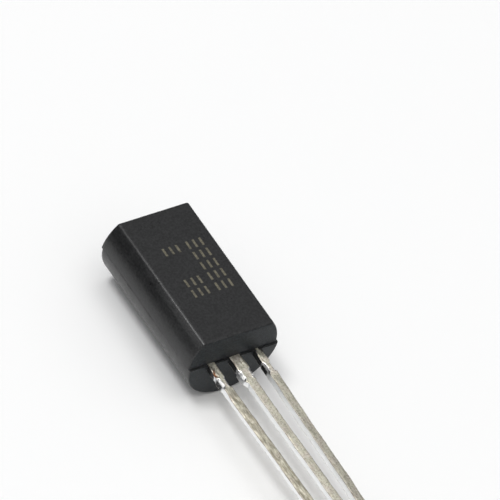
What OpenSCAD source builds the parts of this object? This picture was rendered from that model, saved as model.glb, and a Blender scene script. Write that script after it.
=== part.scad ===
// Long-bodied three-lead transistor, lying on its round back with its flat face up.
// X runs across the leads, Y from the lead tips to the body's top, Z up through the flat face.
// The origin is on the surface it lies on, under the middle of its whole outline.

/* [Body] */
// Width of the moulded body, which is also the diameter of its round back
body_width = 4.9; // [4.7:0.1:5.1]
// Length of the moulded body
body_length = 8; // [7.8:0.1:8.2]
// Height of the flat face above the parting line
flat_height = 1.5; // [1.3:0.05:1.6]
// Radius of the flat face's two long edges
flat_edge_radius = 0.2; // [0.1:0.05:0.3]
// Chamfer along the flat face's two short edges
flat_end_chamfer = 0.07; // [0.04:0.01:0.12]
// Radius round each end of the barrel
end_radius = 0.08; // [0.04:0.02:0.12]
// Lean of the front half's end faces, in degrees, so that it leaves its mould
end_draft = 2; // [1:0.5:4]
// How far the front half of the mould sat to the left of the rear half
mould_slip = 0.04; // [0.02:0.01:0.1]
// How far the middle lead lies to the right of the moulding's middle
frame_offset = 0.07; // [0:0.01:0.1]
// How far the front half stands back from the rear half where the leads come out
lead_end_step = 0.07; // [0.04:0.01:0.1]

/* [Lead frame] */
// Distance between neighbouring leads
lead_pitch = 1.27; // [1.25:0.01:1.29]
// Thickness of the lead frame's sheet
lead_thickness = 0.38; // [0.35:0.01:0.45]
// Length of the leads outside the body
lead_length = 14; // [12:0.5:16]
// Width of every leg
leg_width = 0.43; // [0.4:0.01:0.5]
// Width of the two outer leads where they leave the body
outer_neck_width = 0.4; // [0.36:0.01:0.44]
// Width of the middle lead where it leaves the body
middle_neck_width = 0.59; // [0.5:0.01:0.62]
// Width of the outer leads where the tie bar was cut
outer_shoulder_width = 0.46; // [0.45:0.01:0.56]
// Width of the middle lead where the tie bar was cut
middle_shoulder_width = 0.66; // [0.64:0.01:0.76]
// Distance from the body to the tie bar's cut
neck_length = 0.8; // [0.7:0.05:1.2]
// Length of the tie bar's cut along the lead
cut_length = 0.7; // [0.5:0.05:0.9]
// Width of the edge that the punch rolled over beside each cut
rolled_edge = 0.07; // [0.05:0.01:0.1]

/* [Bends] */
// Distance from the body to the slight knee in the left leg
left_knee = 6; // [4:0.5:9]
// Distance from the body to the slight knee in the middle leg
middle_knee = 7; // [4:0.5:9]
// Distance from the body to the slight knee in the right leg
right_knee = 7.5; // [4:0.5:9]
// Depth of the nick beside the left lead's neck
nick_depth = 0.1; // [0.04:0.02:0.14]

/* [Inside] */
// Width of the pad that carries the die
pad_width = 2.3; // [2:0.1:2.5]
// Length of the pad that carries the die
pad_length = 2.7; // [2.3:0.1:3]
// Side of the square silicon die
die_side = 1.3; // [1:0.1:1.6]
// Thickness of the silicon die
die_thickness = 0.22; // [0.18:0.02:0.3]
// Thickness of the solder under the die
solder_thickness = 0.03; // [0.02:0.01:0.05]
// How far the solder shows round the die
solder_margin = 0.07; // [0.04:0.01:0.1]
// Diameter of the bond wires
wire_diameter = 0.05; // [0.04:0.01:0.08]
// Height of each bond wire's arch over the line between its two ends
wire_rise = 0.55; // [0.4:0.05:0.65]

/* [Hidden] */
$fn = 64;

body_radius = body_width / 2;
parting_z = body_radius;
body_y = (lead_length - body_length) / 2;
front_length = body_length - lead_end_step;
end_inset = flat_height * tan(end_draft);
// How far a cutting solid reaches past what it cuts
past = 1;

// The flat's long edges are arcs that touch both the flat and the barrel.
edge_arc_z = flat_height - flat_edge_radius;
edge_arc_x = sqrt(pow(body_radius - flat_edge_radius, 2) - pow(edge_arc_z, 2));
edge_touch_z = edge_arc_z * body_radius / (body_radius - flat_edge_radius);

// Where each lead's tie bar was cut: the cut's end, the ramp at each end and the rolled edge's slope
cut_end = neck_length + cut_length;
cut_ramp = 0.1;
roll_angle = 74;

// Sideways places of each leg's centre line at the end of its cut, at its knee and at its tip.
// Those of the two outer legs count from the lead's own neck, away from the middle lead.
left_leg = [0.01, -0.05, -0.1];
middle_leg = [0.01, 0.05, 0.16];
right_leg = [-0.05, -0.16, -0.44];

// Distances from the body to the nick's two ends
nick_start = 0.42;
nick_end = 0.88;

// Bonding posts and die pad: places along Y are measured from the body's lead end, and each post's
// two widths from its lead's centre line
post_start = 1.25;
post_end = 2.6;
post_inner_width = 0.52;
post_outer_width = 0.63;
post_corner = 0.3;
pad_start = 3;
pad_end = pad_start + pad_length;
pad_corner = 0.2;
tail_width = 0.8;
tail_length = 1;
lock_radius = 0.2;

solder_side = die_side + 2 * solder_margin;
die_y = (pad_start + pad_end) / 2;
die_base_z = solder_thickness;
die_top_z = die_base_z + die_thickness;

// Where the wires are bonded: the balls' places count from the die's middle, and a stitch's place
// counts outwards from its lead's centre line and upwards from the body's lead end
emitter_ball = [-0.3, -0.32];
base_ball = [0.34, -0.28];
stitch = [0.03, 2.05];
ball_radius = 0.07;
ball_height = 0.05;
stitch_radius = 0.06;
stitch_height = 0.04;

// Puts what is drawn from the middle lead's exit in its place.
module at_lead_exit() translate([frame_offset, body_y, parting_z]) children();

// Extrudes an outline of X and Z along Y.
module along_y(length) rotate([90, 0, 0]) translate([0, 0, -length]) linear_extrude(length) children();

// Extrudes an outline of Y and Z evenly to both sides of X.
module across_x(width) rotate([90, 0, 90]) linear_extrude(width, center = true) children();

// Full barrel with rounded ends, its axis along Y.
module barrel(length) {
    rotate([-90, 0, 0]) rotate_extrude() {
        square([body_radius - end_radius, length]);
        translate([0, end_radius]) square([body_radius, length - 2 * end_radius]);
        for (y = [end_radius, length - end_radius])
            translate([body_radius - end_radius, y]) circle(end_radius);
    }
}

// Room that the flat face and its rounded long edges leave to the front half.
module flat_outline() {
    translate([-body_width, 0]) square([2 * body_width, edge_touch_z]);
    translate([-edge_arc_x, 0]) square([2 * edge_arc_x, flat_height]);
    for (side = [-1, 1]) translate([side * edge_arc_x, edge_arc_z]) circle(flat_edge_radius);
}

// Side view of the front half, with its leaning and chamfered ends.
module front_side_view() {
    inset = end_inset + flat_end_chamfer;
    chamfer_z = flat_height - flat_end_chamfer;
    polygon([
        [0, 0],
        [front_length, 0],
        [front_length - end_inset, chamfer_z],
        [front_length - inset, flat_height],
        [inset, flat_height],
        [end_inset, chamfer_z]
    ]);
}

module front_half() {
    intersection() {
        barrel(front_length);
        along_y(front_length) flat_outline();
        across_x(2 * body_width) front_side_view();
    }
}

module rear_half() {
    intersection() {
        barrel(body_length);
        translate([-body_width, 0, -body_width]) cube([2 * body_width, body_length, body_width]);
    }
}

// Outline between points that run down its left edge and points that run down its right edge.
module outline(left, right) polygon(concat(left, [for (i = [len(right) - 1:-1:0]) right[i]]));

// Points down one edge of a lead outside the body, from its exit to its tip, about x = 0.
// side is 1 for the right edge and -1 for the left; shifts are the leg's places in X.
function outside_edge(side, neck_width, shoulder_width, shifts, knee) = [
    [side * neck_width / 2, -neck_length],
    [side * shoulder_width / 2, -neck_length - cut_ramp],
    [side * shoulder_width / 2, -cut_end + cut_ramp],
    [shifts[0] + side * leg_width / 2, -cut_end],
    [shifts[1] + side * leg_width / 2, -knee],
    [shifts[2] + side * leg_width / 2, -lead_length]
];

// Points down one edge of the pad and its locking tail, inside the body.
function pad_edge(side) = [
    [side * tail_width / 2, pad_end + tail_length],
    [side * tail_width / 2, pad_end],
    [side * (pad_width / 2 - pad_corner), pad_end],
    [side * pad_width / 2, pad_end - pad_corner],
    [side * pad_width / 2, pad_start + pad_corner],
    [side * (pad_width / 2 - pad_corner), pad_start],
    [side * middle_neck_width / 2, pad_start]
];

// Points down one edge of an outer lead's bonding post; width counts from the lead's centre line.
function post_edge(side, width) = [
    [side * width, post_end],
    [side * width, post_start + post_corner],
    [side * outer_neck_width / 2, post_start]
];

// Metal that the punch drew down along the front edge on both sides of the tie bar's cut.
module rolled_edges(shoulder_width) {
    for (side = [-1, 1])
        translate([side * (shoulder_width / 2 - rolled_edge), -(neck_length + cut_end) / 2, 0])
            rotate([0, side * roll_angle, 0])
                translate([0, 0, past / 2])
                    cube([2 * past, cut_length - 2 * cut_ramp, past], center = true);
}

// Turns an outline of the lead frame into metal whose front is on the parting plane.
module sheet() translate([0, 0, -lead_thickness]) linear_extrude(lead_thickness) children();

// Right-hand outer lead about its own centre line; positive shifts point away from the middle lead.
module outer_lead(shifts, knee) {
    difference() {
        sheet() difference() {
            outline(
                concat(
                    post_edge(-1, post_inner_width),
                    outside_edge(-1, outer_neck_width, outer_shoulder_width, shifts, knee)
                ),
                concat(
                    post_edge(1, post_outer_width),
                    outside_edge(1, outer_neck_width, outer_shoulder_width, shifts, knee)
                )
            );
            translate([post_outer_width, (post_start + post_corner + post_end) / 2]) circle(lock_radius);
        }
        rolled_edges(outer_shoulder_width);
    }
}

// Nick that bared the copper beside the left lead's neck.
module nick() {
    translate([0, 0, -past]) linear_extrude(2 * past) polygon([
        [outer_neck_width / 2 + past, -nick_start],
        [outer_neck_width / 2, -nick_start],
        [outer_neck_width / 2 - nick_depth, -nick_end],
        [outer_neck_width / 2 + past, -nick_end]
    ]);
}

module emitter_solid() {
    mirror([1, 0, 0]) translate([lead_pitch, 0, 0]) difference() {
        outer_lead(left_leg, left_knee);
        nick();
    }
}

module collector_solid() {
    difference() {
        sheet() difference() {
            outline(
                concat(
                    pad_edge(-1),
                    outside_edge(-1, middle_neck_width, middle_shoulder_width, middle_leg, middle_knee)
                ),
                concat(
                    pad_edge(1),
                    outside_edge(1, middle_neck_width, middle_shoulder_width, middle_leg, middle_knee)
                )
            );
            translate([0, pad_end + tail_length / 2]) circle(lock_radius);
        }
        rolled_edges(middle_shoulder_width);
    }
}

module base_solid() translate([lead_pitch, 0, 0]) outer_lead(right_leg, right_knee);

module solder_solid() {
    translate([-solder_side / 2, die_y - solder_side / 2, 0]) cube([solder_side, solder_side, solder_thickness]);
}

module die_solid() {
    translate([-die_side / 2, die_y - die_side / 2, die_base_z]) cube([die_side, die_side, die_thickness]);
}

// Bond wire that arches from a ball on the die at start to a stitch on a post at end.
module wire_solid(start, end) {
    die_end = [start[0], start[1], die_top_z + ball_height / 2];
    stitch_end = [end[0], end[1], stitch_height / 2];
    run = stitch_end - die_end;
    level_run = norm([run[0], run[1]]);
    arch_radius = (pow(norm(run) / 2, 2) + pow(wire_rise, 2)) / (2 * wire_rise);
    half_arch = asin(norm(run) / 2 / arch_radius);
    translate([start[0], start[1], die_top_z]) cylinder(r = ball_radius, h = ball_height);
    translate([end[0], end[1], 0]) cylinder(r = stitch_radius, h = stitch_height);
    translate((die_end + stitch_end) / 2)
        rotate([0, -atan2(run[2], level_run), atan2(run[1], run[0])])
            translate([0, 0, wire_rise - arch_radius])
                rotate([90, 0, 0])
                    rotate([0, 0, 90 - half_arch])
                        rotate_extrude(angle = 2 * half_arch)
                            translate([arch_radius, 0]) circle(d = wire_diameter, $fn = 24);
}

module emitter_wire_solid() {
    wire_solid([emitter_ball[0], die_y + emitter_ball[1]], [-lead_pitch - stitch[0], stitch[1]]);
}

module base_wire_solid() {
    wire_solid([base_ball[0], die_y + base_ball[1]], [lead_pitch + stitch[0], stitch[1]]);
}

// One moulding of black epoxy round the lead frame, the die and the wires.
module body() {
    color("#3a3a38") at_lead_exit() difference() {
        union() {
            translate([mould_slip / 2 - frame_offset, 0, 0]) rear_half();
            translate([-mould_slip / 2 - frame_offset, lead_end_step, 0]) front_half();
        }
        emitter_solid();
        collector_solid();
        base_solid();
        solder_solid();
        die_solid();
        emitter_wire_solid();
        base_wire_solid();
    }
}

module emitter_lead() color("#b5b2a2") at_lead_exit() emitter_solid();

module collector_lead() color("#b5b2a2") at_lead_exit() collector_solid();

module base_lead() color("#b5b2a2") at_lead_exit() base_solid();

module die() color("#6d7078") at_lead_exit() die_solid();

module die_attach() color("#8f9094") at_lead_exit() solder_solid();

module emitter_wire() color("#d9a93a") at_lead_exit() emitter_wire_solid();

module base_wire() color("#d9a93a") at_lead_exit() base_wire_solid();

body();
emitter_lead();
collector_lead();
base_lead();
die();
die_attach();
emitter_wire();
base_wire();
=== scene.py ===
import math

import bmesh
import bpy
from mathutils import Matrix, Vector, noise


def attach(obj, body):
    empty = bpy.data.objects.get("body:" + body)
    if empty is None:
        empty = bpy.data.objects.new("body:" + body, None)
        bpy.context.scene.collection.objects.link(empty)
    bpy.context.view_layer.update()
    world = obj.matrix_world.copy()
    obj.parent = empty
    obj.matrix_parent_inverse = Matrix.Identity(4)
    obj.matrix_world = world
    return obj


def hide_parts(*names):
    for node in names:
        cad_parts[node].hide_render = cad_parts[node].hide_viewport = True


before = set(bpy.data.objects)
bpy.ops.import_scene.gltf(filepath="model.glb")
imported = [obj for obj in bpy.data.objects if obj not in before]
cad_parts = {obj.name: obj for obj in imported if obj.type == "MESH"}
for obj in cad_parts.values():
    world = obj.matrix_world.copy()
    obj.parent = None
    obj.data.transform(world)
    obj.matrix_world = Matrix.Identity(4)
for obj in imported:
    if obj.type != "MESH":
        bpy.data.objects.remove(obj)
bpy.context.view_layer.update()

# Camera: a long lens over the emitter lead's side, rolled to the right. Its aim is measured from
# the place where the middle lead leaves the body, and so are the moulding and the leads.
MM = 0.001
seam_height = 2.45
middle_exit = Vector((0.07, 3, seam_height)) * MM
azimuth, elevation, roll = (math.radians(angle) for angle in (-45.919, 46.721, 19.162))
camera_distance = 0.33117
towards_camera = Vector((
    math.sin(azimuth) * math.cos(elevation),
    -math.cos(azimuth) * math.cos(elevation),
    math.sin(elevation),
))
level_right = Vector((0, 0, 1)).cross(towards_camera).normalized()
level_up = towards_camera.cross(level_right)
camera_right = level_right * math.cos(roll) + level_up * math.sin(roll)
camera_up = level_up * math.cos(roll) - level_right * math.sin(roll)
aim = middle_exit + (camera_right * 0.694 + camera_up * 4.895) * MM
camera_data = bpy.data.cameras.new("camera")
camera_data.sensor_width = 36
camera_data.lens = 519.65
camera_data.clip_start = 0.01
camera = bpy.data.objects.new("camera", camera_data)
camera.matrix_world = Matrix.Translation(aim + towards_camera * camera_distance) @ Matrix((
    camera_right, camera_up, towards_camera,
)).transposed().to_4x4()
bpy.context.collection.objects.link(camera)
bpy.context.scene.camera = camera


# Floor: a wide sheet of matt white card, which keeps the part's soft shadow. A little of its
# white is its own glow, so that the shadow stays pale.
floor_side = 3.0
floor_glow = 0.04


def principled(name):
    material = bpy.data.materials.new(name)
    material.use_nodes = True
    return material, material.node_tree, material.node_tree.nodes["Principled BSDF"]


def finished(name, build):
    """Turns a bmesh into an object of the same name at the origin."""
    mesh = bpy.data.meshes.new(name)
    build.to_mesh(mesh)
    build.free()
    piece = bpy.data.objects.new(name, mesh)
    bpy.context.collection.objects.link(piece)
    return piece


def calculate(tree, operation, *values):
    node = tree.nodes.new("ShaderNodeMath")
    node.operation = operation
    for place, value in enumerate(values):
        if isinstance(value, (int, float)):
            node.inputs[place].default_value = value
        else:
            tree.links.new(value, node.inputs[place])
    return node.outputs["Value"]


def flat_card(width, depth):
    build = bmesh.new()
    bmesh.ops.create_grid(build, x_segments=1, y_segments=1, size=0.5)
    bmesh.ops.scale(build, verts=build.verts, vec=(width, depth, 1))
    return build


floor = finished("floor", flat_card(floor_side, floor_side))
white_card, tree, shader = principled("white_card")
shader.inputs["Base Color"].default_value = (0.95, 0.949, 0.945, 1)
shader.inputs["Roughness"].default_value = 0.9
shader.inputs["Specular IOR Level"].default_value = 0.1
shader.inputs["Emission Color"].default_value = (1, 1, 1, 1)
rays = tree.nodes.new("ShaderNodeLightPath")
seen = calculate(tree, "ADD", rays.outputs["Is Camera Ray"], rays.outputs["Is Glossy Ray"])
tree.links.new(calculate(tree, "MULTIPLY", seen, floor_glow), shader.inputs["Emission Strength"])
floor.data.materials.append(white_card)

# Light: a soft box high overhead, a small lamp beside it that gives the leads their soft-edged
# shadows, and a room that is dark round the sides and paler above.
room = bpy.data.worlds.new("room")
bpy.context.scene.world = room
room.use_nodes = True
tree = room.node_tree
place = tree.nodes.new("ShaderNodeTexCoord")
height = tree.nodes.new("ShaderNodeSeparateXYZ")
tree.links.new(place.outputs["Generated"], height.inputs["Vector"])
walls = tree.nodes.new("ShaderNodeValToRGB")
walls.color_ramp.elements[0].position = 0.02
walls.color_ramp.elements[0].color = (0.13, 0.137, 0.15, 1)
walls.color_ramp.elements[1].position = 0.34
walls.color_ramp.elements[1].color = (0.17, 0.176, 0.185, 1)
for stop, colour in ((0.6, (0.47, 0.473, 0.476, 1)), (0.95, (0.52, 0.523, 0.526, 1))):
    walls.color_ramp.elements.new(stop).color = colour
tree.links.new(height.outputs["Z"], walls.inputs["Fac"])
tree.links.new(walls.outputs["Color"], tree.nodes["Background"].inputs["Color"])


def lamp(name, shape, size, direction, distance, level):
    """Hangs a lamp over the part. Its level is the share of full white that it gives the floor."""
    data = bpy.data.lights.new(name, "AREA")
    data.shape = shape
    data.size = size
    unit = Vector(direction).normalized()
    data.energy = level * math.pi * math.pi * distance ** 2 / unit.z
    lit = bpy.data.objects.new(name, data)
    lit.location = unit * distance
    lit.rotation_euler = unit.to_track_quat("Z", "Y").to_euler()
    bpy.context.collection.objects.link(lit)


lamp("soft_box", "SQUARE", 0.9, (-0.12, -0.05, 1), 1.0, 0.39)
lamp("small_lamp", "DISK", 0.32, (-0.385, 0.2, 1), 1.2, 0.265)

# Flag: a low black card that stands beside the part, out of view. Only reflections see it, and
# it draws the dark band along the moulding's side.
flag_height = 0.005
flag_length = 0.033
flag_place = (-0.0105, 0.0237, 0.0025)
flag_hinge = (-0.0105, 0.0095, 0)
flag_turn = math.radians(-10)


def upright_card(height, length, place):
    """Stands a card on its long edge, facing the part's side."""
    build = flat_card(height, length)
    bmesh.ops.rotate(build, verts=build.verts, matrix=Matrix.Rotation(math.pi / 2, 3, "Y"))
    bmesh.ops.translate(build, verts=build.verts, vec=place)
    return build


def show_in_reflections_only(card):
    card.visible_camera = False
    card.visible_diffuse = False
    card.visible_shadow = False


build = upright_card(flag_height, flag_length, flag_place)
turn = Matrix.Rotation(flag_turn, 3, "Z")
bmesh.ops.rotate(build, verts=build.verts, cent=flag_hinge, matrix=turn)
flag = finished("flag", build)
show_in_reflections_only(flag)
black_card, tree, shader = principled("black_card")
shader.inputs["Base Color"].default_value = (0.01, 0.01, 0.01, 1)
shader.inputs["Roughness"].default_value = 0.9
shader.inputs["Specular IOR Level"].default_value = 0
flag.data.materials.append(black_card)

# Reflector: a small bright card above the flag, also out of view. Only reflections see it, and it
# lights the cut faces of the leads.
reflector_height = 0.0057
reflector_length = 0.0051
reflector_place = (-0.011, 0.00705, 0.00815)
reflector = finished("reflector", upright_card(reflector_height, reflector_length, reflector_place))
show_in_reflections_only(reflector)
lit_card, tree, shader = principled("lit_card")
shader.inputs["Base Color"].default_value = (0.9, 0.9, 0.9, 1)
shader.inputs["Roughness"].default_value = 0.9
shader.inputs["Emission Color"].default_value = (1, 1, 1, 1)
shader.inputs["Emission Strength"].default_value = 0.9
reflector.data.materials.append(lit_card)

# Shared finish: every material of the part takes its fine grain and its broad mottling from one
# node group. The moulding and the leads break up the wear on their edges with another.
def shader_group(name, numbers_in, numbers_out):
    """Starts a node group that takes a vector and some numbers, and puts out masks."""
    group = bpy.data.node_groups.new(name, "ShaderNodeTree")
    group.interface.new_socket("Vector", in_out="INPUT", socket_type="NodeSocketVector")
    for socket in numbers_in:
        group.interface.new_socket(socket, in_out="INPUT", socket_type="NodeSocketFloat")
    for socket in numbers_out:
        group.interface.new_socket(socket, in_out="OUTPUT", socket_type="NodeSocketFloat")
    return group, group.nodes.new("NodeGroupInput"), group.nodes.new("NodeGroupOutput")


def placed(tree, group, vector, numbers):
    """Places a node group in a material with its own numbers."""
    node = tree.nodes.new("ShaderNodeGroup")
    node.node_tree = group
    tree.links.new(vector, node.inputs["Vector"])
    for socket, number in numbers.items():
        node.inputs[socket].default_value = number
    return node


grain_group, inside, outside = shader_group(
    "grain", ("Fine Scale", "Broad Scale"), ("Fine", "Broad"),
)
for scale, output, detail in (("Fine Scale", "Fine", 4), ("Broad Scale", "Broad", 2)):
    speckle = grain_group.nodes.new("ShaderNodeTexNoise")
    speckle.inputs["Detail"].default_value = detail
    speckle.inputs["Roughness"].default_value = 0.6
    grain_group.links.new(inside.outputs["Vector"], speckle.inputs["Vector"])
    grain_group.links.new(inside.outputs[scale], speckle.inputs["Scale"])
    grain_group.links.new(speckle.outputs["Fac"], outside.inputs[output])

wear_group, inside, outside = shader_group("edge_wear", ("Edge", "Scale"), ("Worn",))
scuffs = wear_group.nodes.new("ShaderNodeTexNoise")
scuffs.inputs["Detail"].default_value = 5
scuffs.inputs["Roughness"].default_value = 0.7
patches = wear_group.nodes.new("ShaderNodeMapRange")
patches.inputs["From Min"].default_value = 0.52
patches.inputs["From Max"].default_value = 0.68
wear_group.links.new(inside.outputs["Vector"], scuffs.inputs["Vector"])
wear_group.links.new(inside.outputs["Scale"], scuffs.inputs["Scale"])
wear_group.links.new(scuffs.outputs["Fac"], patches.inputs["Value"])
worn = calculate(wear_group, "MULTIPLY", patches.outputs["Result"], inside.outputs["Edge"])
wear_group.links.new(worn, outside.inputs["Worn"])


def millimetres(tree, stretch=(1, 1, 1)):
    """Adds object coordinates in millimetres, with each axis stretched by its own share."""
    place = tree.nodes.new("ShaderNodeTexCoord")
    scaled = tree.nodes.new("ShaderNodeMapping")
    scaled.inputs["Scale"].default_value = [1000 * share for share in stretch]
    tree.links.new(place.outputs["Object"], scaled.inputs["Vector"])
    return scaled.outputs["Vector"]


def grain(tree, vector, fine, broad):
    node = placed(tree, grain_group, vector, {"Fine Scale": fine, "Broad Scale": broad})
    return node.outputs["Fine"], node.outputs["Broad"]


def attribute(tree, name):
    node = tree.nodes.new("ShaderNodeAttribute")
    node.attribute_name = name
    return node.outputs["Fac"]


def edge_wear(tree, vector, edge, scale):
    node = placed(tree, wear_group, vector, {"Scale": scale})
    tree.links.new(edge, node.inputs["Edge"])
    return node.outputs["Worn"]


def spread(tree, value, low, high, out_low=0.0, out_high=1.0):
    """Maps low to out_low and high to out_high, and holds the ends."""
    node = tree.nodes.new("ShaderNodeMapRange")
    node.inputs["From Min"].default_value = low
    node.inputs["From Max"].default_value = high
    node.inputs["To Min"].default_value = out_low
    node.inputs["To Max"].default_value = out_high
    tree.links.new(value, node.inputs["Value"])
    return node.outputs["Result"]


def blend(tree, share, first, second):
    """Mixes two colours, each given as three numbers or as a socket."""
    node = tree.nodes.new("ShaderNodeMix")
    node.data_type = "RGBA"
    tree.links.new(share, node.inputs["Factor"])
    for place, colour in (("A", first), ("B", second)):
        socket = [s for s in node.inputs if s.name == place and s.type == "RGBA"][0]
        if isinstance(colour, tuple):
            socket.default_value = (*colour, 1)
        else:
            tree.links.new(colour, socket)
    return [s for s in node.outputs if s.type == "RGBA"][0]


def bump(tree, shader, height, depth, strength):
    """Roughens the surface by up to depth millimetres."""
    node = tree.nodes.new("ShaderNodeBump")
    node.inputs["Distance"].default_value = depth * MM
    node.inputs["Strength"].default_value = strength
    tree.links.new(height, node.inputs["Height"])
    tree.links.new(node.outputs["Normal"], shader.inputs["Normal"])


def store_edges(build, low=8, high=30):
    """Stores how sharply the surface turns at each vertex, in degrees, for the wear on edges."""
    layer = build.verts.layers.float.new("edge")
    for vert in build.verts:
        turn = max((math.degrees(edge.calc_face_angle(0)) for edge in vert.link_edges), default=0)
        vert[layer] = min(1, max(0, (turn - low) / (high - low)))


# Moulded body: one block of black epoxy, pressed round the lead frame in two mould halves that
# met slightly out of line. Both are round, and the front one is cut off by the flat face. Its
# lead end stands back from the rear half's, which leaves a narrow ledge along the parting line.
radius = 2.44
rear_centre = -0.02
rear_ends = (0.0, 7.983)
rear_lean = 0.03
front_centre = -0.088
front_ends = (0.075, 7.993)
front_lean = 0.055
flat_height = 1.52
flat_edge = 0.2
end_edge = 0.08
end_wall_rims = (0.2, 7.8)
flat_margin = 0.12
seam_step = 0.07


def side_line(build, start, arcs):
    """Draws half of a mould half's end outline, turning its last point round each centre."""
    last = [build.verts.new(start)]
    for centre, angle, parts in arcs:
        turned = bmesh.ops.spin(
            build, geom=last, cent=centre, axis=(0, 1, 0), angle=angle, steps=parts,
            use_duplicate=False,
        )
        last = [part for part in turned["geom_last"] if isinstance(part, bmesh.types.BMVert)]


def mould_half(name, centre, ends, lean, start, arcs, top):
    """Pulls the end outline along Y, leans the end walls in and rounds off their rims."""
    build = bmesh.new()
    side_line(build, start, arcs)
    bmesh.ops.mirror(build, geom=build.verts[:] + build.edges[:], merge_dist=1e-6, axis="X")
    bmesh.ops.remove_doubles(build, verts=build.verts, dist=1e-6)
    loose = [v for v in build.verts if len(v.link_edges) == 1]
    loose.sort(key=lambda v: (round(v.co.z, 6), v.co.x))
    for first, second in zip(loose[::2], loose[1::2]):
        build.edges.new((first, second))
    face = bmesh.ops.contextual_create(build, geom=build.edges[:])["faces"]
    bmesh.ops.translate(build, verts=build.verts, vec=(0, ends[0], 0))
    pulled = bmesh.ops.extrude_face_region(build, geom=face)
    moved = [part for part in pulled["geom"] if isinstance(part, bmesh.types.BMVert)]
    bmesh.ops.translate(build, verts=moved, vec=(0, ends[1] - ends[0], 0))
    bmesh.ops.recalc_face_normals(build, faces=build.faces)
    middle = sum(ends) / 2
    rims = [
        edge for edge in build.edges
        if abs(edge.verts[0].co.y - edge.verts[1].co.y) < 1e-6
        and max(abs(v.co.z) for v in edge.verts) > 1e-6
    ]
    for vert in build.verts:
        reach = abs(vert.co.z) / top * lean
        vert.co.y += reach if vert.co.y < middle else -reach
    bmesh.ops.bevel(
        build, geom=rims, offset=end_edge, offset_type="OFFSET", segments=3, profile=0.5,
        affect="EDGES", material=-1, clamp_overlap=False,
    )
    bmesh.ops.translate(build, verts=build.verts, vec=(centre, 0, 0))
    return finished(name, build)


edge_z = flat_height - flat_edge
edge_x = math.sqrt((radius - flat_edge) ** 2 - edge_z ** 2)
side_angle = math.atan2(edge_z, edge_x)
front_half = mould_half(
    "front_half", front_centre, front_ends, front_lean, (edge_x, 0, flat_height),
    (
        ((edge_x, 0, edge_z), math.pi / 2 - side_angle, 6),
        ((0, 0, 0), side_angle, 20),
    ),
    flat_height,
)
rear_half = mould_half(
    "rear_half", rear_centre, rear_ends, rear_lean, (radius, 0, 0),
    (((0, 0, 0), math.pi / 2, 40),),
    radius,
)
joined = front_half.modifiers.new("joined", "BOOLEAN")
joined.operation = "UNION"
joined.solver = "EXACT"
joined.object = rear_half
graph = bpy.context.evaluated_depsgraph_get()
moulding_mesh = bpy.data.meshes.new_from_object(front_half.evaluated_get(graph))
bpy.data.objects.remove(front_half)
bpy.data.objects.remove(rear_half)
moulding = bpy.data.objects.new("moulding", moulding_mesh)
bpy.context.collection.objects.link(moulding)

# The seam is ragged where resin crept between the mould halves, so its edges are cut into short
# lengths and pushed a little out of line. The noise that does it is seeded, and the leads' dents
# share it. The end walls keep a second, duller finish, whose tone is painted paler as painted
# light.
seam_wave = 0.016
seam_nick = 0.014
noise.seed_set(2)
build = bmesh.new()
build.from_mesh(moulding_mesh)
bmesh.ops.remove_doubles(build, verts=build.verts, dist=1e-4)
seam = [edge for edge in build.edges if max(abs(v.co.z) for v in edge.verts) < 1e-3]
for edge in seam:
    parts = int(edge.calc_length() / seam_step)
    if parts > 1:
        bmesh.ops.subdivide_edges(build, edges=[edge], cuts=parts - 1)
for along in end_wall_rims:
    bmesh.ops.bisect_plane(
        build, geom=build.verts[:] + build.edges[:] + build.faces[:], dist=1e-6,
        plane_co=(0, along, 0), plane_no=(0, 1, 0),
    )
flat = [face for face in build.faces if face.normal.z > 0.99 and face.calc_area() > 1.5]
bmesh.ops.inset_individual(build, faces=flat, thickness=flat_margin, use_even_offset=True)
# The ledge is split before its points move, so that it never folds flat against the wall beside it.
ledge = [face for face in build.faces if max(abs(vert.co.z) for vert in face.verts) < 1e-3]
bmesh.ops.triangulate(build, faces=ledge)
store_edges(build)
for vert in build.verts:
    if abs(vert.co.z) < 1e-3:
        ragged = noise.noise_vector(vert.co * 5.3) * seam_wave
        ragged += noise.noise_vector(vert.co * 17.0) * seam_nick
        vert.co += Vector((ragged.x, ragged.y, ragged.z * 0.8))
for face in build.faces:
    face.smooth = True
    # Faces that look along Y, the end walls, take the second finish with its painted paler tone.
    face.material_index = 1 if abs(face.normal.y) > 0.75 else 0
for edge in build.edges:
    edge.smooth = edge.calc_face_angle(0) < math.radians(35)
bmesh.ops.scale(build, verts=build.verts, vec=(MM, MM, MM))
bmesh.ops.translate(build, verts=build.verts, vec=middle_exit)
build.to_mesh(moulding_mesh)
build.free()
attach(moulding, "root")
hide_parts("body")

# Generic mark: rows of short bars that a laser scorched into the flat face, three bars to each
# place, with no letters or numbers. It is part of the moulding's finish, so it has no depth.
bar_pitch = 0.36
bars_to_place = 3
place_pitch = 0.66
flat_from = 3.9
bars_group, inside, outside = shader_group("mark_bars", ("Low X", "Start Y", "Places"), ("Bars",))
apart = bars_group.nodes.new("ShaderNodeSeparateXYZ")
bars_group.links.new(inside.outputs["Vector"], apart.inputs["Vector"])
across = calculate(bars_group, "SUBTRACT", apart.outputs["X"], inside.outputs["Low X"])
across = calculate(bars_group, "DIVIDE", across, bar_pitch)
off_row = calculate(bars_group, "SUBTRACT", across, bars_to_place / 2)
off_row = calculate(bars_group, "ABSOLUTE", off_row)
in_row = calculate(bars_group, "LESS_THAN", off_row, bars_to_place / 2)
off_bar = calculate(bars_group, "SUBTRACT", calculate(bars_group, "FRACT", across), 0.5)
off_bar = calculate(bars_group, "ABSOLUTE", off_bar)
on_bar = spread(bars_group, off_bar, 0.12, 0.2, 1, 0)
along = calculate(bars_group, "SUBTRACT", apart.outputs["Y"], inside.outputs["Start Y"])
along = calculate(bars_group, "DIVIDE", along, place_pitch)
started = calculate(bars_group, "GREATER_THAN", along, 0)
unfinished = calculate(bars_group, "LESS_THAN", along, inside.outputs["Places"])
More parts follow.
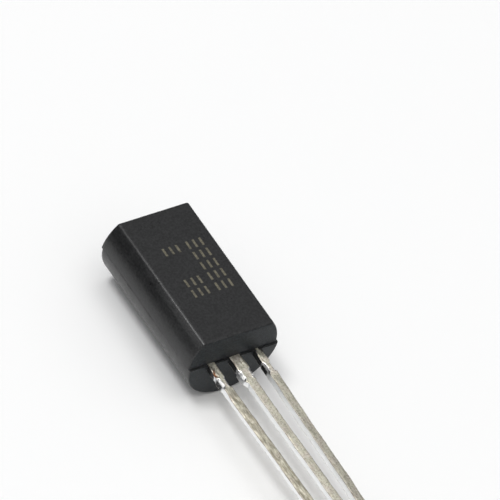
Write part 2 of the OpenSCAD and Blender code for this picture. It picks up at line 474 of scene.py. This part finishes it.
off_place = calculate(bars_group, "SUBTRACT", calculate(bars_group, "FRACT", along), 0.38)
off_place = calculate(bars_group, "ABSOLUTE", off_place)
in_place = spread(bars_group, off_place, 0.32, 0.38, 1, 0)
lit = calculate(bars_group, "MULTIPLY", in_row, on_bar)
for mask in (in_place, started, unfinished):
    lit = calculate(bars_group, "MULTIPLY", lit, mask)
bars_group.links.new(lit, outside.inputs["Bars"])


def scorched_bars(tree, vector, height, fine):
    """Masks the mark: five places in the upper row, and two and one in the lower."""
    bars = None
    for low_x, start_y, places in ((0.35, 5.72, 5), (-0.94, 5.72, 2), (-0.94, 8.36, 1)):
        numbers = {"Low X": low_x, "Start Y": start_y, "Places": places}
        row = placed(tree, bars_group, vector, numbers).outputs["Bars"]
        bars = row if bars is None else calculate(tree, "MAXIMUM", bars, row)
    bars = calculate(tree, "MULTIPLY", bars, calculate(tree, "GREATER_THAN", height, flat_from))
    return calculate(tree, "MULTIPLY", bars, spread(tree, fine, 0.32, 0.6, 0.35, 1))


epoxy_tone = (0.0122, 0.0124, 0.0129)
# The end walls' tone is the same epoxy painted paler and bluer, as painted light.
end_wall_painted_paler_tone = (0.021, 0.025, 0.028)
scuffed_epoxy = (0.05, 0.05, 0.05)
pale_flash = (0.12, 0.12, 0.118)
# The groove under the seam is painted near black, as painted shade.
groove_painted_shade = (0.003, 0.003, 0.003)
scorched_epoxy = (0.16, 0.145, 0.1)
flash_depth = 0.08
groove_depth = 0.025


def epoxy_finish(name, tone, dull, gloss, marked):
    """Black epoxy with the mould's fine grain; the mould's end walls leave it duller."""
    material, tree, shader = principled(name)
    vector = millimetres(tree)
    fine, broad = grain(tree, vector, 10, 1.1)
    apart = tree.nodes.new("ShaderNodeSeparateXYZ")
    tree.links.new(vector, apart.inputs["Vector"])
    shade = spread(tree, fine, 0.35, 0.65)
    dark_tone, pale_tone = (tuple(share * part for part in tone) for share in (0.5, 1.6))
    colour = blend(tree, shade, dark_tone, pale_tone)
    worn = edge_wear(tree, vector, attribute(tree, "edge"), 9)
    colour = blend(tree, worn, colour, scuffed_epoxy)
    height = apart.outputs["Z"]
    from_flash = calculate(tree, "SUBTRACT", height, seam_height - flash_depth)
    flash = spread(tree, calculate(tree, "ABSOLUTE", from_flash), 0.02, 0.06, 1, 0)
    colour = blend(tree, edge_wear(tree, vector, flash, 6), colour, pale_flash)
    from_groove = calculate(tree, "SUBTRACT", height, seam_height - groove_depth)
    groove = spread(tree, calculate(tree, "ABSOLUTE", from_groove), 0.01, 0.04, 1, 0)
    # The groove under the seam is painted near black as painted shade, besides its bump and
    # roughness.
    colour = blend(tree, calculate(tree, "MULTIPLY", groove, 0.8), colour, groove_painted_shade)
    dullness = spread(tree, fine, 0.35, 0.7, dull, dull + 0.12)
    dullness = calculate(tree, "ADD", dullness, spread(tree, broad, 0.35, 0.65, -0.03, 0.04))
    dullness = calculate(tree, "ADD", dullness, calculate(tree, "MULTIPLY", groove, 0.35))
    if marked:
        burnt = scorched_bars(tree, vector, height, fine)
        colour = blend(tree, burnt, colour, scorched_epoxy)
        dullness = calculate(tree, "ADD", dullness, calculate(tree, "MULTIPLY", burnt, 0.2))
    tree.links.new(colour, shader.inputs["Base Color"])
    tree.links.new(dullness, shader.inputs["Roughness"])
    relief = calculate(tree, "SUBTRACT", fine, calculate(tree, "MULTIPLY", groove, 2))
    bump(tree, shader, relief, 0.012, 0.5)
    shader.inputs["Specular IOR Level"].default_value = gloss
    return material


moulding_mesh.materials.append(epoxy_finish("black_epoxy", epoxy_tone, 0.3, 0.5, True))
# The end walls' finish is duller, and its tone is painted paler as painted light.
moulding_mesh.materials.append(epoxy_finish("dull_end_wall_epoxy_painted_paler", end_wall_painted_paler_tone, 0.45, 0.22, False))

# Leads: three strips punched from one copper-alloy sheet and dipped in tin, which end in bonding
# posts or, in the middle, in the pad under the die. Outside, cutting the tie bar left a bulging
# sheared face on each side, torn in its lower part, and resin crept down the necks. The dark film
# on the necks' left sides, and over most of the base lead's neck, is that resin and also painted
# shade.
sheet = 0.38
sheet_corner = 0.035
rim = sheet_corner * 2
shear_depth = 0.15
lead_lift = 0.012
scratch_depth = 0.03
broad_dent = 0.016
small_dent = 0.012
short_length = 0.04
plain_length = 0.12

# Each plan runs along Y from the body's lead end, in millimetres. "edges" has the lead's left and
# right edges, "turn" its twist in degrees, and "cut" the sheared faces, which lean back by
# "set_back" above and bulge by "set_out" below. "torn" is the start, end and darkness of their torn
# part, and the front's darkening share says how much darker and streakier the front is beyond them.
# The necks' dark film, which is resin and also painted shade, ends at the plan's resin end less a
# slope, and over a resin fork it leaves only a wedge of the front bare. A "scratch" is a line
# through the tin, and "seed" moves the lead to dents of its own.
EMITTER = {
    "edges": (
        (2.6, -1.9, -0.75), (2.27, -1.9, -0.75), (2.2, -1.74, -0.75), (2.075, -1.7, -0.75),
        (1.95, -1.74, -0.75), (1.88, -1.9, -0.75), (1.55, -1.9, -0.75), (1.25, -1.47, -1.07),
        (0, -1.475, -1.08), (-0.35, -1.5, -1.1), (-0.72, -1.48, -1.1), (-0.86, -1.49, -1.06),
        (-1.0, -1.5, -1.065), (-1.4, -1.49, -1.085), (-1.6, -1.5, -1.06), (-2.9, -1.49, -1.045),
        (-6.3, -1.425, -0.995), (-7.9, -1.415, -0.985), (-14, -1.385, -0.955),
    ),
    "turn": ((-1.5, 0), (-2.4, 10), (-14, 11)),
    "cut": ((-0.76, 0), (-0.94, 1), (-1.34, 1), (-1.52, 0)),
    "set_back": 0.12,
    "set_out": 0.04,
    "resin_and_shade_end": -0.64,
    "resin_and_shade_slope": 0.08,
    "torn": (-0.73, -1.38, 1.0),
    "darkened_front": 0.8,
    "scratch": ((-0.28, -0.06), (-0.6, -0.17), (-0.85, -0.13)),
    "seed": 0.0,
}
COLLECTOR = {
    "edges": (
        (6.7, -0.4, 0.4), (5.72, -0.4, 0.4), (5.7, -0.95, 0.95), (5.5, -1.15, 1.15),
        (3.2, -1.15, 1.15), (3.0, -0.95, 0.95), (2.98, -0.295, 0.295), (0, -0.28, 0.3),
        (-0.3, -0.27, 0.32), (-0.72, -0.28, 0.33), (-0.86, -0.33, 0.36), (-1.1, -0.34, 0.355),
        (-1.4, -0.31, 0.3), (-1.62, -0.21, 0.235), (-3.3, -0.2, 0.225), (-7.8, -0.155, 0.275),
        (-14, -0.055, 0.375),
    ),
    "turn": ((-1.5, 0), (-14, 1)),
    "cut": ((-0.74, 0), (-0.9, 1), (-1.3, 1), (-1.48, 0)),
    "set_back": 0.13,
    "set_out": 0.04,
    "resin_and_shade_end": -0.62,
    "resin_and_shade_slope": 0.06,
    "torn": (-0.8, -1.44, 0.6),
    "darkened_front": 0.1,
    "seed": 21.0,
}
BASE = {
    "edges": (
        (2.6, 0.75, 1.9), (2.27, 0.75, 1.9), (2.2, 0.75, 1.74), (2.075, 0.75, 1.7),
        (1.95, 0.75, 1.74), (1.88, 0.75, 1.9), (1.55, 0.75, 1.9), (1.25, 1.07, 1.47),
        (0, 1.07, 1.46), (-0.35, 1.06, 1.455), (-0.7, 1.05, 1.46), (-0.84, 1.035, 1.475),
        (-1.1, 1.035, 1.475), (-1.4, 1.03, 1.455), (-1.6, 1.015, 1.445), (-3.3, 0.955, 1.385),
        (-4.8, 0.925, 1.355), (-7.8, 0.89, 1.32), (-9.3, 0.835, 1.265), (-14, 0.64, 1.07),
    ),
    "turn": ((-1.5, 0), (-2.4, -5), (-14, -7)),
    "cut": ((-0.74, 0), (-0.9, 1), (-1.3, 1), (-1.48, 0)),
    "set_back": 0.095,
    "set_out": 0.02,
    "resin_and_shade_end": -0.7,
    "resin_and_shade_slope": 0.05,
    "torn": (-0.68, -1.36, 1.0),
    "darkened_front": 0.25,
    "resin_and_shade_fork": 0.5,
    "seed": 43.0,
}


def between(stops, place, column=1):
    """Reads a value between the stops along a lead, which run from its inner end to its tip."""
    if place >= stops[0][0]:
        return stops[0][column]
    for near, far in zip(stops, stops[1:]):
        if place >= far[0]:
            share = (near[0] - place) / (near[0] - far[0])
            return near[column] + (far[column] - near[column]) * share * share * (3 - 2 * share)
    return stops[-1][column]


def lead_bar(build, inner, outer):
    """Draws a straight bar with rounded edges, in short lengths that are finest near the body."""
    bmesh.ops.create_grid(build, x_segments=1, y_segments=1, size=0.5)
    bmesh.ops.bisect_edges(build, edges=build.edges[:], cuts=5)
    corners = [v for v in build.verts if abs(v.co.x) > 0.49 and abs(v.co.y) > 0.49]
    bmesh.ops.scale(build, verts=build.verts, vec=(1, sheet, 1))
    bmesh.ops.bevel(
        build, geom=corners, offset=sheet_corner, offset_type="OFFSET", segments=3, profile=0.5,
        affect="VERTICES", material=-1,
    )
    bmesh.ops.rotate(build, verts=build.verts, matrix=Matrix.Rotation(math.pi / 2, 3, "X"))
    bmesh.ops.translate(build, verts=build.verts, vec=(0, inner, -sheet / 2))
    end = build.faces[:]
    place = inner
    while place > outer + 1e-6:
        step = short_length if -1.8 < place < 0.1 else plain_length
        step = min(step, place - outer)
        pulled = bmesh.ops.extrude_face_region(build, geom=end)
        if place < inner:
            bmesh.ops.delete(build, geom=end, context="FACES_ONLY")
        end = [part for part in pulled["geom"] if isinstance(part, bmesh.types.BMFace)]
        moved = [part for part in pulled["geom"] if isinstance(part, bmesh.types.BMVert)]
        bmesh.ops.translate(build, verts=moved, vec=(0, -step, 0))
        place -= step
    bmesh.ops.recalc_face_normals(build, faces=build.faces)


def clamp(share):
    return min(1, max(0, share))


def lead_offset(plan, across, along, height, cut):
    """Gives a point's distance from the lead's middle line, with the sheared faces leaning back."""
    side = 1 if across > 0 else -1
    half = (between(plan["edges"], along, 2) - between(plan["edges"], along, 1)) / 2
    if abs(across) > 1 - rim:
        offset = side * (half - (1 - abs(across)) / 2)
    else:
        offset = across / (1 - rim) * (half - sheet_corner)
    offset -= side * cut * plan["set_back"] * max(0, height - shear_depth) / (0.5 - shear_depth)
    offset += side * cut * plan["set_out"] * max(0, shear_depth - height) / (0.5 + shear_depth)
    return offset


def unevenness(plan, offset, along, up):
    """Small dents of the punched strip, outside the body."""
    broad = Vector((offset * 3, along * 1.3 + plan["seed"], up * 3))
    small = Vector((offset * 9, along * 6 + plan["seed"], up * 9))
    dents = noise.noise_vector(broad) * broad_dent + noise.noise_vector(small) * small_dent
    return dents * clamp(-along * 4)


def scratch_share(plan, offset, along):
    """How deep the scratch through the tin is, from 0 to 1."""
    if "scratch" not in plan:
        return 0
    start, end = plan["scratch"][0][0], plan["scratch"][-1][0]
    if not end < along < start:
        return 0
    share = math.exp(-((offset - between(plan["scratch"], along)) / 0.055) ** 2)
    return share * clamp((start - along) / 0.15) * clamp((along - end) / 0.15)


def resin_and_shade_share(plan, flank, across, along, offset, slope):
    """Where resin crept down the neck's left side, and over its front where the plan has a fork;
    this dark film is also painted shade.
    """
    creep = noise.noise(Vector((offset * 4, along * 3, plan["seed"]))) * 0.15
    share = flank if across <= 0 and along > plan["resin_and_shade_end"] - slope + creep else 0
    if "resin_and_shade_fork" in plan and along > -plan["resin_and_shade_fork"]:
        bare = 0.03 + 0.17 * max(0, -along) / 0.45
        share = max(share, clamp((abs(offset + 0.02) - bare) / 0.03))
    return share


def surface_marks(plan, across, along, height, offset, scratch):
    """Gives the share of each mark that the tin finish shows at a point."""
    outer = max(0, abs(across) - 0.5) * 2
    flank = clamp((abs(across) - 1 + rim) / rim) if abs(height) < 0.45 else 0
    sheared = min(1, between(plan["cut"], along) * 1.6) * outer
    slope = plan["resin_and_shade_slope"] * (0.5 - height)
    start, end, darkness = plan["torn"]
    torn = clamp((start - slope - along) / 0.12) * clamp((along - end) / 0.1) * darkness
    return {
        "flank": flank,
        # The right flank is marked to be painted darker, as painted shade.
        "far_flank_painted_shade": flank if across > 0 else 0,
        "darkened_front": plan["darkened_front"] * clamp((-1.3 - along) / 0.6),
        "burnished": sheared if height > shear_depth + 0.05 else 0,
        "fractured": torn * flank if height < shear_depth + 0.05 else 0,
        "copper": min(1, scratch * 1.5),
        "resin_and_shade": resin_and_shade_share(plan, flank, across, along, offset, slope),
    }


def stamped_lead(name, node, plan):
    """Bends and widens a straight bar to its plan, and stores its marks for the tin finish."""
    build = bmesh.new()
    lead_bar(build, plan["edges"][0][0], plan["edges"][-1][0])
    store_edges(build)
    marks = ("flank", "far_flank_painted_shade", "darkened_front", "burnished", "fractured", "copper", "resin_and_shade")
    layers = {mark: build.verts.layers.float.new(mark) for mark in marks}
    for vert in build.verts:
        across, along, up = vert.co.x * 2, vert.co.y, vert.co.z
        height = up / sheet + 0.5
        cut = between(plan["cut"], along) * max(0, abs(across) - 0.5) * 2
        offset = lead_offset(plan, across, along, height, cut)
        scratch = scratch_share(plan, offset, along) if height > 0.3 else 0
        for mark, share in surface_marks(plan, across, along, height, offset, scratch).items():
            vert[layers[mark]] = share
        dents = unevenness(plan, offset, along, up) * (1 - 0.8 * cut)
        dents.z -= scratch * scratch_depth
        middle = (between(plan["edges"], along, 1) + between(plan["edges"], along, 2)) / 2
        turn = math.radians(between(plan["turn"], along))
        dip = up + sheet / 2
        vert.co.x = middle + offset * math.cos(turn) - dip * math.sin(turn) + dents.x
        vert.co.z = offset * math.sin(turn) + dip * math.cos(turn) - sheet / 2 + dents.z + lead_lift
    bmesh.ops.scale(build, verts=build.verts, vec=(MM, MM, MM))
    bmesh.ops.translate(build, verts=build.verts, vec=middle_exit)
    for face in build.faces:
        face.smooth = len(face.verts) == 4
    lead = finished(name, build)
    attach(lead, "root")
    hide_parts(node)
    return lead


pale_tin = (1, 0.96, 0.8)
grey_tin = (0.8, 0.76, 0.6)
warm_tin = (0.95, 0.83, 0.75)
bright_tin = (1, 0.98, 0.9)
# The left flanks are painted near white, as a painted reflection.
near_flank_painted_reflection = (0.93, 0.935, 0.94)
oxide = (0.42, 0.39, 0.29)
# The right flanks are painted dark brown, as painted shade.
far_flank_shade_tone = (0.16, 0.14, 0.1)
# The tin is slightly darker towards the body.
near_body_darker_tin = (0.3, 0.27, 0.23)
# The front beyond the cut faces is darker and streakier, most on the emitter lead.
darker_front_tin = (0.3, 0.275, 0.21)
# The tin is darker along sharp edges.
sharp_edge_darker_tin = (0.45, 0.42, 0.36)
rubbed_edge = (0.3, 0.23, 0.17)
# The torn lower part of each sheared face is coloured near black.
near_black_torn_part = (0.04, 0.04, 0.04)
sheared_metal = (0.97, 0.965, 0.95)
bare_copper = (0.24, 0.11, 0.055)
# Resin film on the necks, which is also painted shade.
resin_and_shade_film = (0.012, 0.012, 0.012)
tin, tree, shader = principled("tin_dip")
vector = millimetres(tree)
fine, broad = grain(tree, vector, 11, 1.6)
streaks, tide = grain(tree, millimetres(tree, (1, 0.16, 1)), 13, 4)
colour = blend(tree, spread(tree, streaks, 0.38, 0.58), grey_tin, pale_tin)
colour = blend(tree, spread(tree, broad, 0.46, 0.6, 0, 0.5), colour, warm_tin)
colour = blend(tree, spread(tree, fine, 0.5, 0.66, 0, 0.7), colour, bright_tin)
colour = blend(tree, spread(tree, fine, 0.48, 0.36, 0, 0.6), colour, oxide)
# The right flanks are painted darker, as painted shade.
far_flank_painted_shade = attribute(tree, "far_flank_painted_shade")
colour = blend(tree, spread(tree, far_flank_painted_shade, 0, 0.4, 0, 0.9), colour, far_flank_shade_tone)
apart = tree.nodes.new("ShaderNodeSeparateXYZ")
tree.links.new(vector, apart.inputs["Vector"])
# The tin is slightly darker towards the body.
near_body = calculate(tree, "ADD", apart.outputs["Y"], spread(tree, fine, 0.4, 0.6, -0.3, 0.3))
colour = blend(tree, spread(tree, near_body, 2.3, 3.0, 0, 0.1), colour, near_body_darker_tin)
# The front beyond the cut faces is darker and streakier, most on the emitter lead.
darkened_front = spread(tree, streaks, 0.38, 0.6, 1.25, 0.6)
darkened_front = calculate(tree, "MULTIPLY", attribute(tree, "darkened_front"), darkened_front)
colour = blend(tree, darkened_front, colour, darker_front_tin)
# The left flanks are painted near white, as a painted reflection.
near_flank_painted_light = calculate(tree, "SUBTRACT", attribute(tree, "flank"), far_flank_painted_shade)
colour = blend(tree, near_flank_painted_light, colour, near_flank_painted_reflection)
# The torn lower part of each sheared face is coloured near black.
torn = spread(tree, fine, 0.25, 0.45, 0.7, 1)
torn = calculate(tree, "MULTIPLY", attribute(tree, "fractured"), torn)
colour = blend(tree, torn, colour, near_black_torn_part)
edge = attribute(tree, "edge")
# The tin is darker along sharp edges.
colour = blend(tree, calculate(tree, "MULTIPLY", edge, 0.6), colour, sharp_edge_darker_tin)
colour = blend(tree, edge_wear(tree, vector, edge, 3), colour, rubbed_edge)
burnished = attribute(tree, "burnished")
colour = blend(tree, burnished, colour, sheared_metal)
colour = blend(tree, attribute(tree, "copper"), colour, bare_copper)
# The necks' dark film is resin and painted shade; there the tin is no longer metal.
resin_and_shade = attribute(tree, "resin_and_shade")
colour = blend(tree, resin_and_shade, colour, resin_and_shade_film)
tree.links.new(colour, shader.inputs["Base Color"])
tree.links.new(spread(tree, resin_and_shade, 0.3, 0.7, 1, 0), shader.inputs["Metallic"])
dullness = spread(tree, tide, 0.3, 0.7, 0.26, 0.42)
dullness = calculate(tree, "ADD", dullness, spread(tree, fine, 0.4, 0.7, 0, 0.15))
dullness = calculate(tree, "MULTIPLY", dullness, spread(tree, burnished, 0, 1, 1, 0.8))
tree.links.new(dullness, shader.inputs["Roughness"])
relief = calculate(tree, "MULTIPLY", streaks, spread(tree, burnished, 0, 1, 1, 0.1))
bump(tree, shader, relief, 0.03, 0.35)
for name, node, plan in (
    ("emitter_lead_tinned", "emitter_lead", EMITTER),
    ("collector_lead_tinned", "collector_lead", COLLECTOR),
    ("base_lead_tinned", "base_lead", BASE),
):
    stamped_lead(name, node, plan).data.materials.append(tin)

# Die and its solder: a sawn square of silicon, soldered to the collector lead's pad. They are
# sealed in the moulding, so their finish is plain.
def dress(node, material):
    """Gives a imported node's own mesh its finish."""
    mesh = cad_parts[node].data
    mesh.materials.clear()
    mesh.materials.append(material)


dark_silicon = (0.12, 0.13, 0.16)
pale_silicon = (0.2, 0.21, 0.24)
dark_solder = (0.3, 0.3, 0.31)
pale_solder = (0.42, 0.42, 0.42)
silicon, tree, shader = principled("silicon")
fine, broad = grain(tree, millimetres(tree), 6, 1)
tree.links.new(blend(tree, fine, dark_silicon, pale_silicon), shader.inputs["Base Color"])
tree.links.new(spread(tree, broad, 0.3, 0.7, 0.15, 0.3), shader.inputs["Roughness"])
shader.inputs["Metallic"].default_value = 0.6
solder, tree, shader = principled("solder")
fine, broad = grain(tree, millimetres(tree), 12, 2)
tree.links.new(blend(tree, broad, dark_solder, pale_solder), shader.inputs["Base Color"])
tree.links.new(spread(tree, fine, 0.3, 0.7, 0.35, 0.55), shader.inputs["Roughness"])
shader.inputs["Metallic"].default_value = 1
bump(tree, shader, fine, 0.01, 0.4)
dress("die", silicon)
dress("die_attach", solder)

# Bond wires: two fine drawn gold wires, welded to the top of the die and arched over to the
# bonding posts. They are sealed in too.
deep_gold = (0.75, 0.5, 0.13)
pale_gold = (0.86, 0.62, 0.2)
gold, tree, shader = principled("drawn_gold")
fine, broad = grain(tree, millimetres(tree), 20, 3)
tree.links.new(blend(tree, broad, deep_gold, pale_gold), shader.inputs["Base Color"])
tree.links.new(spread(tree, fine, 0.3, 0.7, 0.18, 0.3), shader.inputs["Roughness"])
shader.inputs["Metallic"].default_value = 1
dress("emitter_wire", gold)
dress("base_wire", gold)

# Colours are shown as they are.
bpy.context.scene.view_settings.view_transform = "Standard"
